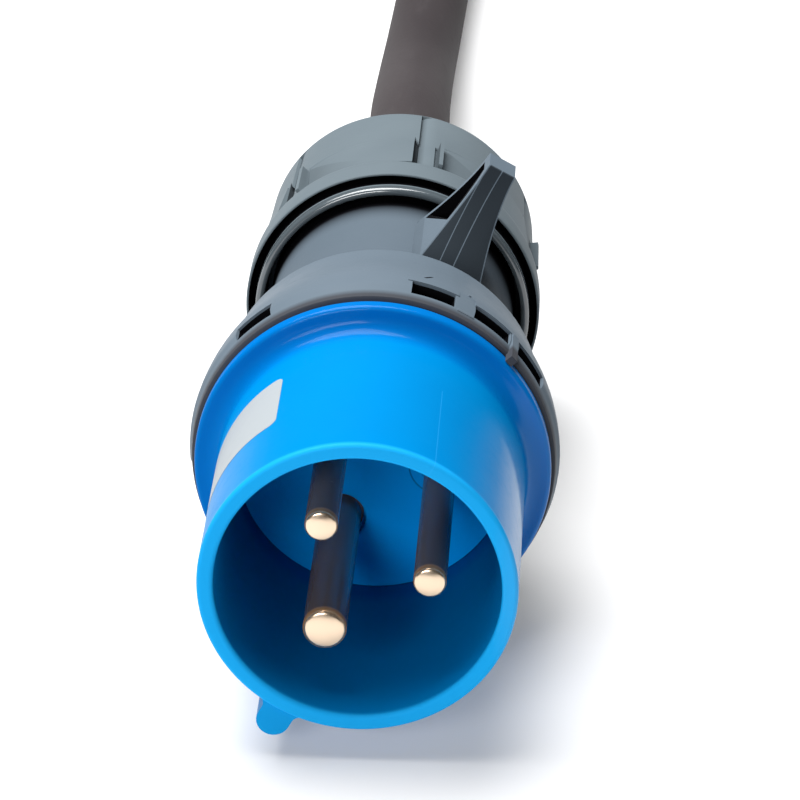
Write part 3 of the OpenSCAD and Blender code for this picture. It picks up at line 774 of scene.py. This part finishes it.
def windowed(outline, windows, outer, inner, step=3.0, least=0.6):
    """A turned outline with holes through the wall between an outer and an inner run of its points."""
    half = math.degrees(window_half / ring_r)
    edges = [(w + side * half) % 360.0 for w in windows for side in (-1, 1)]
    turns = [step * k for k in range(round(360.0 / step))]
    turns = sorted([t for t in turns if all(apart(t, e) > least for e in edges)] + edges)
    count = len(outline)
    points = [on_plug(r, t, s) for t in turns for r, s in outline]
    faces = []

    def in_window(angle):
        return any(apart(angle, w) < half for w in windows)

    outer_run = [outline.index(p) for p in outer]
    inner_run = [outline.index(p) for p in inner]
    opened = set(outer_run[:-1] + inner_run[:-1])
    for k, turn in enumerate(turns):
        n = (k + 1) % len(turns)
        gap = (turns[n] - turn) % 360.0
        hole = in_window(turn + gap / 2)
        for j in range(count):
            if not (hole and j in opened):
                faces.append(quad(k, n, j, (j + 1) % count, count))
        if hole:
            for a, b in ((outer_run[0], inner_run[-1]), (outer_run[-1], inner_run[0])):
                faces.append(quad(k, n, a, b, count))
        if in_window(turn - 0.01) != in_window(turn + 0.01):
            faces.append(tuple(k * count + j for j in outer_run + inner_run))
    return points, faces


lug_top = 46.0
lug_foot = 85.3
lug_front = 97.5
lug_back = 103.8
lug_lean = 4.2
lug_plate = 2.3
lug_skin = 1.4
lug_top_half = 2.85
lug_flare = 4.35
lug_flare_bow = 1.6
lug_face_bow = 1.9
lug_root = neck_r - 1.0
lug_edge_slope = 0.3
parting_half = 0.14
parting_depth = 0.07
lug_on = beside(lug_angle)


def lug_height(share):
    return neck_r + share * (lug_top - neck_r)


def lug_face(share):
    return lug_foot + (lug_front - lug_foot) * (1 - (1 - share) ** lug_face_bow)


def lug_rear(share):
    return lug_back + lug_lean * (1 - share)


def lug_half(height):
    share = min(1.0, max(0.0, (height - neck_r) / (lug_top - neck_r)))
    return lug_top_half + lug_flare * (1 - share) ** lug_flare_bow


def lug_mesh():
    """A curved front plate with a parting line, a flat top and a thin rear plate, hollow between."""
    shape = bmesh.new()
    steps = [i / 20 for i in range(21)]
    outside = [(lug_root, lug_foot, False)]
    outside += [(lug_height(h), lug_face(h), True) for h in steps]
    outside += [(lug_top, lug_back, False)]
    outside += [(lug_height(h), lug_rear(h), False) for h in reversed(steps[:-1])]
    outside += [(lug_root, lug_rear(0.0), False)]
    hollow = [(lug_height(h), lug_face(h) + lug_plate) for h in steps if 0.38 < h < 0.92]
    hollow += [(lug_height(h), lug_rear(h) - lug_skin) for h in reversed(steps) if 0.12 < h < 0.92]
    rows = []
    for r, s, front in outside:
        half = lug_half(r)
        flat = min(lug_top_half, half - 0.06)
        slope = lug_edge_slope * (half - flat)
        profile = [(-half, slope), (-flat, 0.0), (-parting_half, 0.0), (0.0, -parting_depth)]
        profile += [(parting_half, 0.0), (flat, 0.0), (half, slope)]
        rows.append([shape.verts.new(lug_on(r, y, s + (shift if front else 0.0))) for y, shift in profile])
    last = len(rows[0]) - 1
    walls = [[shape.verts.new(lug_on(r, side * lug_half(r), s)) for r, s in hollow] for side in (-1, 1)]
    for i in range(len(rows)):
        n = (i + 1) % len(rows)
        for j in range(last):
            shape.faces.new((rows[i][j], rows[i][j + 1], rows[n][j + 1], rows[n][j]))
    for i in range(len(hollow)):
        n = (i + 1) % len(hollow)
        shape.faces.new((walls[0][i], walls[0][n], walls[1][n], walls[1][i]))
    for wall, column in ((walls[0], 0), (walls[1], last)):
        rim = [row[column] for row in rows]
        edges = []
        for loop in (wall, rim):
            for i in range(len(loop)):
                pair = (loop[i], loop[(i + 1) % len(loop)])
                edges.append(shape.edges.get(pair) or shape.edges.new(pair))
        bmesh.ops.triangle_fill(shape, use_beauty=True, use_dissolve=False, edges=edges)
    return taken_apart(shape)


def ring_strip(first, last, s_low, s_high, lift, steps, sunk=0.6):
    """A raised strip on the ring between two angles and two places along the axis."""

    def surface(s):
        for (r0, s0), (r1, s1) in zip(housing_outer, housing_outer[1:]):
            if s0 <= s <= s1 and s1 > s0:
                return r0 + (r1 - r0) * (s - s0) / (s1 - s0)
        return ring_r

    low = surface(s_low)
    high = surface(s_high)
    corners = [(low - sunk, s_low), (low + lift, s_low), (high + lift, s_high), (high - sunk, s_high)]
    angles = [first + (last - first) * k / steps for k in range(steps + 1)]
    return bar([[on_plug(r, angle, s) for r, s in corners] for angle in angles])


grey_look = {
    "colour": (0.124, 0.158, 0.192), "second": (0.113, 0.146, 0.178), "roughness": 0.36,
    "grain": 0.00002, "grain_scale": 2100.0,
}
# Deep shade is painted into the windows, the hollow, the neck and the nut's bell and slots.
shade_colour = (0.004, 0.004, 0.005, 1)
front_shade_colour = (0.034, 0.028, 0.030, 1)
window_shade_r = 34.3
window_shade_back = 59.4
hollow_front = (94.6, 33.0, 0.444)
hollow_rear = (103.1, 43.8, -0.195)
hollow_floor = (32.7, 95.2, -0.55)
hollow_top = 44.0
face_low = 25.2
face_front = 84.0
face_share = 0.76
line_half = 0.1095
flare_line_half = 0.0894
nick_line = (9.02, 62.3, 0.627)
nick_back = 64.5
nick_half = 0.245


def sloped(line, along):
    """The height of a straight line: its height and place at one point, and its slope."""
    height, place, slope = line
    return (along - place) * slope + height


grey = moulded("grey_nylon", **grey_look)
housing_grey = moulded("housing_nylon", **grey_look)
grey_r, grey_s, grey_across, grey_up = plug_place(housing_grey)
lug_side, lug_out = from_ray(grey_across, grey_up, lug_angle)
behind_windows = (grey_r < window_shade_r) * grey_s.between(window_front + 0.1, window_shade_back)
in_hollow = grey_s.between(sloped(hollow_front, lug_out), sloped(hollow_rear, lug_out))
in_hollow = in_hollow * lug_out.between(sloped(hollow_floor, grey_s), hollow_top)
# Painted shade: the lug's front face is darkened, except along two thin lines on it.
lug_drop = ((lug_top - lug_out) / (lug_top - neck_r)).largest(0.0)
lug_edge = lug_top_half - 0.25 + lug_flare * lug_drop.math("POWER", lug_drop, lug_flare_bow)
on_face = (lug_out > face_low) * grey_s.between(face_front, lug_front + 0.5) * lug_side.near(lug_edge)
on_lines = (lug_side.near(line_half) + (lug_side + lug_top_half).near(flare_line_half)).smallest(1.0)
face_shade = on_face * (1.0 - on_lines) * face_share
# A short dark slash is painted on the ring's top, in the same near-black as the painted shade.
in_nick = (grey_across - sloped(nick_line, grey_s)).near(nick_half) * (grey_up > 20.0)
in_nick = in_nick * grey_s.between(nick_line[1], nick_back)
# Painted shade: the neck darkens towards the bell that overhangs it.
bell_depth = housing_grey.ramp(grey_s, 109.0, 117.0)
under_bell = bell_depth * bell_depth * (grey_r < neck_r + 0.3)
shaded = (behind_windows + in_hollow + in_nick + under_bell + face_shade).smallest(1.0)
# Painted shade: the ring's front bevel, in front of the windows, is darkened.
front_shade = (1.0 - housing_grey.ramp(grey_s, window_front - 1.8, window_front - 0.2)) * 0.75
# Painted shade: the neck is darkened a little, and more to the right of the lug where its shadow falls.
on_neck = housing_grey.ramp(grey_s, 68.0, 72.0) * (grey_r < 27.0)
neck_shade = on_neck * (0.16 + housing_grey.ramp(lug_side, 4.0, 9.0) * 0.5)
housing_base = housing_grey.mix(front_shade, housing_grey.base(), front_shade_colour)
housing_base = housing_grey.mix(neck_shade, housing_base, shade_colour)
housing_grey.feed("Base Color", housing_grey.mix(shaded, housing_base, shade_colour))

tab_low = 33.55
tab_top = 35.2
tab_half = 0.8
tab_front = 48.6
tab_angle = 48.4
tab_section = [(tab_low, -tab_half), (tab_top, -tab_half), (tab_top, tab_half), (tab_low, tab_half)]
rail_front = 58.62
rail_back = 61.2
rail_lift = 0.2
rail_gap = (26.6, 32.4)
housing = add_piece("slotted_housing", *joined(
    windowed(housing_outline, window_angles, window_outer, window_inner),
    lug_mesh(),
    prism(tab_section, tab_front, window_back, beside(tab_angle)),
    ring_strip(10.0, rail_gap[0], rail_front, rail_back, rail_lift, steps=12),
    ring_strip(*rail_gap, 53.2, rail_back, lift=0.16, steps=6),
    ring_strip(rail_gap[1], 49.0, rail_front, rail_back, rail_lift, steps=12),
    ring_strip(29.9, 30.7, 61.5, 62.0, lift=0.35, steps=2),
), housing_grey.material, smooth_angle=30.0)
soften(housing, width=0.00025, angle=38.0)
seat(housing, "plug", "grey_plastic", "rear_housing")

# Gland nut: a grey nylon moulding with a bell-shaped skirt over a threaded sleeve. Six saw teeth ramp up
# round its tapered grip, each with a step, a deep slot, a scoop back to the rear edge and a thin ridge.
skirt_front = 120.7
skirt_r = 29.6
grip_front = 127.9
grip_r = 28.3
grip_rear_r = 27.32
grip_back = 157.77
nut_back = 159.27
sleeve_r = 25.9
sleeve_wall = 1.7
sleeve_front = 118.5
mouth_r = 9.8
tooth_front = 128.1
tooth_back = 142.5
slot_floor = 26.8
scoop_depth = 0.8
ridge_top = 29.75
nut_teeth = 6
tooth_pitch = 360.0 / nut_teeth
step_angle = 6.7
step_thin = 0.06
slot_end = 2.2
slot_back = 145.4
slot_slant = 3.7
scoop_end = 9.0
ridge_start = 10.5
ridge_end = 12.4
ridge_front = 128.9
ridge_back = 141.6
ridge_fall = 0.25
recess_depth = 0.6
ramp_low = 26.9
ramp_rise = 2.5
ramp_bow = 0.9
ramp_rear_low = 27.6
ramp_rear_rise = 0.6


def smooth_step(value, low, high):
    t = min(1.0, max(0.0, (value - low) / (high - low)))
    return t * t * (3 - 2 * t)


def soft_band(value, start, full, fade, end):
    """1 from full to fade, falling smoothly to 0 at start and end."""
    return smooth_step(value, start, full) * (1 - smooth_step(value, fade, end))


def grip_at(s):
    return grip_r + (grip_rear_r - grip_r) * (s - grip_front) / (grip_back - grip_front)


def nut_radius(angle, s, plain):
    """Outside of the nut: angle runs from one tooth's step to the next one's."""
    opened = smooth_step(s, tooth_front, tooth_front + 0.3)
    slot_stop = slot_back - slot_slant * min(1.0, angle / slot_end)
    tooth_zone = soft_band(s, tooth_front, tooth_front + 0.3, tooth_back - 0.2, tooth_back + 0.2)
    slot_zone = soft_band(s, tooth_front + 0.3, tooth_front + 0.6, slot_stop - 0.5, slot_stop)
    ridge_zone = soft_band(s, ridge_front, ridge_front + 0.3, ridge_back - 0.4, ridge_back)
    along = (s - tooth_front) / (tooth_back - tooth_front)
    on_step = angle < step_thin
    share = 1.0 if on_step else max(0.0, (angle - ridge_end) / (tooth_pitch - ridge_end))
    ramp_front = ramp_low + ramp_rise * share ** ramp_bow
    ramp = ramp_front + (ramp_rear_low + ramp_rear_rise * share - ramp_front) * along
    on_ramp = 1.0 if on_step else smooth_step(angle, ridge_end - 0.2, ridge_end + 0.1)
    in_slot = soft_band(angle, step_thin, 0.3, slot_end - 0.3, slot_end)
    scoop = max(0.0, (scoop_end - angle) / (scoop_end - slot_end)) ** 2
    scoop = min(1.0, scoop * smooth_step(angle, slot_end - 0.3, slot_end))
    recess = soft_band(angle, scoop_end, scoop_end + 0.3, ridge_start - 0.3, ridge_start)
    on_ridge = soft_band(angle, ridge_start - 0.2, ridge_start, ridge_end - 0.3, ridge_end)
    r = plain
    r += (ramp - r) * on_ramp * tooth_zone
    r -= scoop_depth * scoop * opened
    r -= recess_depth * recess * ridge_zone
    r += (ridge_top - ridge_fall * along - r) * on_ridge * ridge_zone
    r += (slot_floor - r) * in_slot * slot_zone
    return r


def spaced(first, last, step):
    """Evenly spaced values from first to last."""
    return [first + step * i for i in range(round((last - first) / step) + 1)]


lip_round = 0.3
nut_turns = [0.0, step_thin, 0.14, 0.22, 0.3, 0.8, 1.4] + spaced(1.9, slot_end, 0.1) + [2.6, 3.2]
nut_turns += spaced(4.0, scoop_end, 1.0) + spaced(9.1, 9.3, 0.1) + [9.8] + spaced(10.2, ridge_start, 0.1)
nut_turns += [10.9, 11.5] + spaced(12.1, 12.5, 0.1) + spaced(13.0, tooth_pitch, 47.0 / 24)
nut_lip = arc((skirt_r - lip_round, skirt_front + lip_round), lip_round, 225, 360, 5)
nut_rows = nut_lip + [(skirt_r, s) for s in (122.4, 124.6, 126.6)]
nut_rows += [(29.55, 127.3), (29.4, 127.7), (29.1, 127.95), (28.7, 128.05)]
nut_bends = [128.12] + spaced(128.2, 128.7, 0.1) + spaced(ridge_front, 129.2, 0.1)
nut_bends += spaced(131.0, 139.0, 2.0) + [140.6] + spaced(141.2, ridge_back, 0.1)
nut_bends += spaced(141.9, 142.7, 0.1) + spaced(143.1, 145.5, 0.4)
nut_bends += [147.0, 149.0, 152.0, 155.0, 157.2, grip_back]
nut_rows += [(grip_at(s), s) for s in nut_bends]
sleeve_out_r = sleeve_r + sleeve_wall
nut_inner = arc((25.82, grip_back), nut_back - grip_back, 6, 90, 7)
nut_inner += [(20.0, nut_back), (12.0, nut_back), (10.8, 158.9), (10.0, 158.2)]
nut_inner += [(mouth_r, 157.3), (mouth_r, 152.6)]
nut_inner += [(12.9, 152.5), (20.0, 138.7), (sleeve_r, 138.7), (sleeve_r, 130.0), (sleeve_r, 119.4)]
nut_inner += arc((sleeve_r + sleeve_wall / 2, sleeve_front), sleeve_wall / 2, 180, 360, 12)
nut_inner += [(sleeve_out_r, 121.0), (sleeve_out_r, 127.2), (28.5, 126.8), (28.95, 123.0)]


def nut_sector():
    """One tooth's share of the nut, from its step to the next one."""
    outline = nut_rows + nut_inner
    outer = len(nut_rows)
    points = []
    for turn in nut_turns:
        for j, (r, s) in enumerate(outline):
            radius = nut_radius(turn, s, r) if len(nut_lip) <= j < outer else r
            points.append(on_plug(radius, step_angle + turn, s))
    return points, skin(len(nut_turns), len(outline))


def repeat_round(piece, copies, axis, smooth_angle):
    """Turns a sector into the whole ring as one plain mesh, by nodes that turn copies of it about Y."""
    tree = bpy.data.node_groups.new("copies_round_axis", "GeometryNodeTree")
    for side in ("INPUT", "OUTPUT"):
        tree.interface.new_socket("Geometry", in_out=side, socket_type="NodeSocketGeometry")

    def add(kind, inputs, **settings):
        return add_node(tree, kind, inputs, **settings).outputs[0]

    sector = tree.nodes.new("NodeGroupInput").outputs[0]
    centred = add("GeometryNodeTransform", {"Geometry": sector, "Translation": -axis})
    spots = add("GeometryNodePoints", {"Count": copies, "Position": axis})
    number = add("GeometryNodeInputIndex", {})
    part = add("ShaderNodeMath", {0: number, 1: copies}, operation="DIVIDE")
    angle = add("ShaderNodeMath", {0: part, 1: math.tau}, operation="MULTIPLY")
    turn = add("ShaderNodeCombineXYZ", {"Y": angle})
    ring = add("GeometryNodeInstanceOnPoints", {"Points": spots, "Instance": centred, "Rotation": turn})
    real = add("GeometryNodeRealizeInstances", {0: ring})
    welded = add("GeometryNodeMergeByDistance", {"Geometry": real, "Distance": 2e-6})
    material = piece.data.materials[0]
    painted = add("GeometryNodeSetMaterial", {"Geometry": welded, "Material": material})
    tree.links.new(painted, tree.nodes.new("NodeGroupOutput").inputs[0])
    modifier = piece.modifiers.new("copies", "NODES")
    modifier.node_group = tree
    graph = bpy.context.evaluated_depsgraph_get()
    whole = bpy.data.meshes.new_from_object(piece.evaluated_get(graph), depsgraph=graph)
    piece.modifiers.remove(modifier)
    shape = bmesh.new()
    shape.from_mesh(whole)
    settle(shape, whole, smooth_angle)
    piece.data = whole


bell_r = 29.15
bell_front = 120.0
bell_back = 127.7
bead_back = 119.5
bead_share = 0.4
pocket_slant = 0.38
pocket_share = 0.2
slot_share = 0.8
scoop_share = 0.4
recess_share = 0.35
nut_grey = moulded(
    "nut_nylon", (0.134, 0.165, 0.184), (0.120, 0.149, 0.168),
    roughness=0.40, grain=0.00003, grain_scale=1900.0,
)
nut_r, nut_s, nut_across, nut_up = plug_place(nut_grey)
nut_turn = nut_across.math("ARCTAN2", nut_across, nut_up) * (180.0 / math.pi) - step_angle
nut_turn = nut_turn.math("FRACT", nut_turn / tooth_pitch, 0.0) * tooth_pitch
past_ridge = nut_turn - ridge_end
past_slot = nut_turn - slot_end
# Painted shade inside the bell and in the teeth's pockets, slots, scoops and recesses; the bead is darker
# too.
on_bead = nut_s < bead_back
in_bell = (nut_r < bell_r) * nut_s.between(bell_front, bell_back)
in_bell = (in_bell + (nut_r < sleeve_r + 0.1)).smallest(1.0) * nut_s.between(118.9, 139.0)
in_pocket = (past_ridge > 0.0) * nut_s.between(tooth_front + 0.3, tooth_back - past_ridge * pocket_slant)
in_pocket = in_pocket * (1.0 - nut_grey.ramp(past_ridge, 4.0, 26.0))
slot_stop = slot_back - 0.2 - nut_turn * (slot_slant / slot_end)
in_slot = nut_turn.between(0.1, slot_end) * nut_s.between(tooth_front + 0.2, slot_stop)
in_scoop = (past_slot > -0.1) * (1.0 - nut_grey.ramp(past_slot, 0.0, 2.6))
in_scoop = in_scoop * nut_s.between(tooth_front, grip_back) * (nut_r > sleeve_r + 0.3)
in_recess = nut_turn.between(scoop_end + 0.1, ridge_start)
in_recess = in_recess * nut_s.between(ridge_front + 0.1, ridge_back - 0.2)
nut_shade_and_dark_bead = in_bell + in_pocket * pocket_share + in_slot * slot_share + in_scoop * scoop_share
nut_shade_and_dark_bead = (nut_shade_and_dark_bead + in_recess * recess_share + on_bead * bead_share).smallest(1.0)
nut_grey.feed("Base Color", nut_grey.mix(nut_shade_and_dark_bead, nut_grey.base(), shade_colour))
nut_grey.feed("Roughness", 0.42 - on_bead * 0.27)
nut_grey.feed("Coat Weight", on_bead)
nut_grey.feed("Coat IOR", 1.75)
nut = add_piece("ratchet_nut", *nut_sector(), nut_grey.material)
repeat_round(nut, nut_teeth, axis=Vector((0.0, 0.0, plug_axis)), smooth_angle=30.0)
seat(nut, "nut", "grey_plastic", "gland_nut")

# Inside of the plug: zinc-plated terminal screws, rubber seals, a split nylon clamp cage and three
# insulated cores. They keep the shapes of the construction and get the finish of their real materials.


def paint(finishes):
    """Gives nodes that keep their own shape a finish each."""
    for node_name, finish in finishes.items():
        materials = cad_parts[node_name].data.materials
        materials.clear()
        materials.append(finish.material)


steel = Finish("zinc_steel", Metallic=1.0)
steel_lines = steel.noise(scale=1100.0, detail=3.0, roughness=0.6, stretch=(1.0, 4.0, 1.0))
steel.feed("Base Color", steel.mix(steel_lines, (0.60, 0.61, 0.62, 1), (0.48, 0.49, 0.51, 1)))
steel.feed("Roughness", 0.26 + steel_lines * 0.14)
steel.bump(steel_lines, 0.00001)
rubber = moulded(
    "black_rubber", (0.014, 0.014, 0.015), (0.021, 0.021, 0.022),
    roughness=0.62, grain=0.00006, grain_scale=1300.0,
)
cage_white = moulded(
    "cage_nylon", (0.42, 0.43, 0.42), (0.38, 0.39, 0.38),
    roughness=0.45, grain=0.00003, grain_scale=1700.0,
)
brown_core = moulded("brown_core", (0.105, 0.040, 0.018), (0.085, 0.032, 0.014), roughness=0.42)
pale_blue_core = moulded("light_blue_core", (0.09, 0.26, 0.52), (0.08, 0.23, 0.47), roughness=0.42)
earth_core = Finish("earth_core")
_, _, core_across, core_up = plug_place(earth_core)
core_side = from_ray(core_across, core_up, lug_angle)[0]
core_stripe = earth_core.ramp(core_side, -0.4, 0.4)
core_mark = earth_core.ramp(earth_core.noise(scale=300.0, detail=3.0), 0.35, 0.65)
earth_core.feed("Base Color", earth_core.mix(core_stripe, (0.62, 0.55, 0.02, 1), (0.03, 0.26, 0.05, 1)))
earth_core.feed("Roughness", 0.38 + core_mark * 0.1)
earth_core.bump(core_mark, 0.00002)
paint({
    "terminal_screws": steel, "housing_seal": rubber, "cable_seal": rubber, "sheath_end": sheath,
    "clamp_cage": cage_white, "earth_core": earth_core, "line_core": brown_core,
    "neutral_core": pale_blue_core,
})

# Coupler: a grey nylon handle with a rubber strain relief, a blue front with three brass contact tubes and
# a sprung lid on a steel pin. It keeps the shapes of the construction and rides on the end of the cord.
coupler_finish = {
    "strain_relief": rubber, "coupler_handle": grey, "coupler_front": blue,
    "earth_contact": brass, "line_contact": brass, "neutral_contact": brass,
    "coupler_lid": blue, "lid_seal": rubber, "lid_pin": steel, "lid_spring": steel,
}
paint(coupler_finish)

# Studio: a plain white table that glows faintly, one large soft lamp overhead, a little left and behind,
# and a smaller, weaker one on the left in front that reaches into the cup.
floor_half = 4.0
floor_white = (0.66, 0.66, 0.663, 1)
floor_dull = (0.64, 0.64, 0.643, 1)
floor_glow = 0.24
floor_corners = [(x * floor_half, y * floor_half, 0) for x, y in ((-1, -1), (1, -1), (1, 1), (-1, 1))]
floor_mesh = bpy.data.meshes.new("floor")
floor_mesh.from_pydata(floor_corners, [], [(0, 1, 2, 3)])
floor_paint = Finish("studio_floor", Roughness=0.9)
floor_paint.feed("Emission Color", (1.0, 1.0, 1.0, 1.0))
floor_paint.feed("Emission Strength", floor_glow)
floor_shade = floor_paint.ramp(floor_paint.noise(scale=3.0), 0.3, 0.7)
floor_paint.feed("Base Color", floor_paint.mix(floor_shade, floor_dull, floor_white))
floor_mesh.materials.append(floor_paint.material)
floor = show("floor", floor_mesh)

world = bpy.data.worlds.new("room")
scene.world = world
world.use_nodes = True
room_light = world.node_tree.nodes["Background"].inputs
room_light["Color"].default_value = (0.9, 0.95, 1.0, 1)
room_light["Strength"].default_value = 0.06


def soft_lamp(name, place, aim, width, depth, power):
    data = bpy.data.lights.new(name, "AREA")
    data.shape = "RECTANGLE"
    data.size = width
    data.size_y = depth
    data.energy = power
    lamp = show(name, data)
    lamp.location = place
    lamp.rotation_euler = (Vector(aim) - Vector(place)).to_track_quat("-Z", "Y").to_euler()


soft_lamp("overhead_box", (-0.25, 0.2, 1.1), aim=(0.0, 0.03, 0.0), width=0.95, depth=0.95, power=28.5)
soft_lamp("front_box", (-0.4, -1.2, 0.55), aim=(0.0, 0.0, 0.03), width=0.6, depth=0.4, power=8.0)
scene.view_settings.view_transform = "Standard"
scene.view_settings.look = "None"
